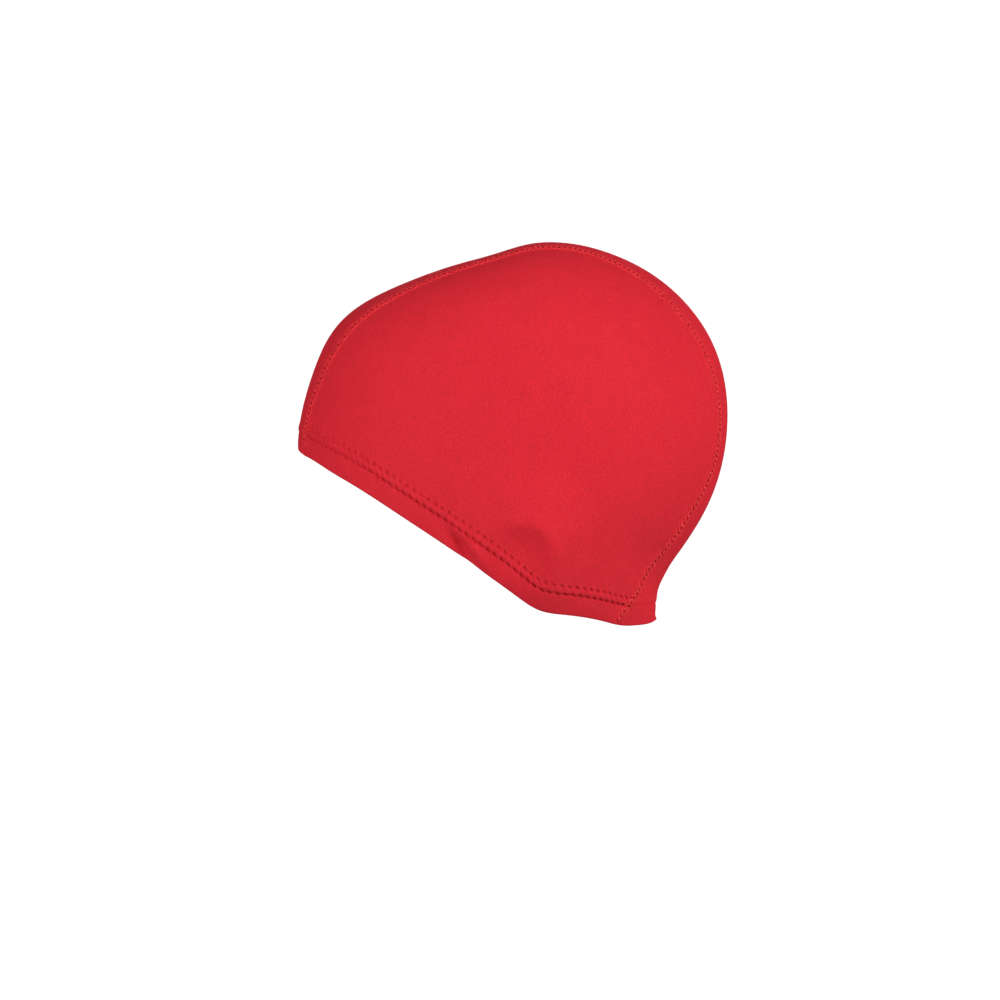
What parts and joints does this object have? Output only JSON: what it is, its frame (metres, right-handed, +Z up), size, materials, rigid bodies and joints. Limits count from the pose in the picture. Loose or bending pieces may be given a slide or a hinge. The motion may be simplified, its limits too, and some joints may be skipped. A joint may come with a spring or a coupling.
{
  "type": "swim cap",
  "caption": "Pull-on swim cap in stretch knit: side panels joined by a narrow centre panel over the crown, with flat seams and a turned-up, stitched hem.",
  "frame": {"origin": "crown of the head that wears the cap, at the inside of the cloth on the middle plane", "axes": "+Z up, -Y towards the forehead, +X towards the wearer's left"},
  "size_m": [0.1632, 0.2005, 0.1783],
  "materials": {
    "side_knit": "matt satin stretch knit, bright red",
    "centre_knit": "matt satin stretch knit, bright red"
  },
  "bodies": {
    "root": {"side_panel_left": "side_knit", "centre_panel": "centre_knit", "side_panel_right": "side_knit"}
  },
  "joints": []
}
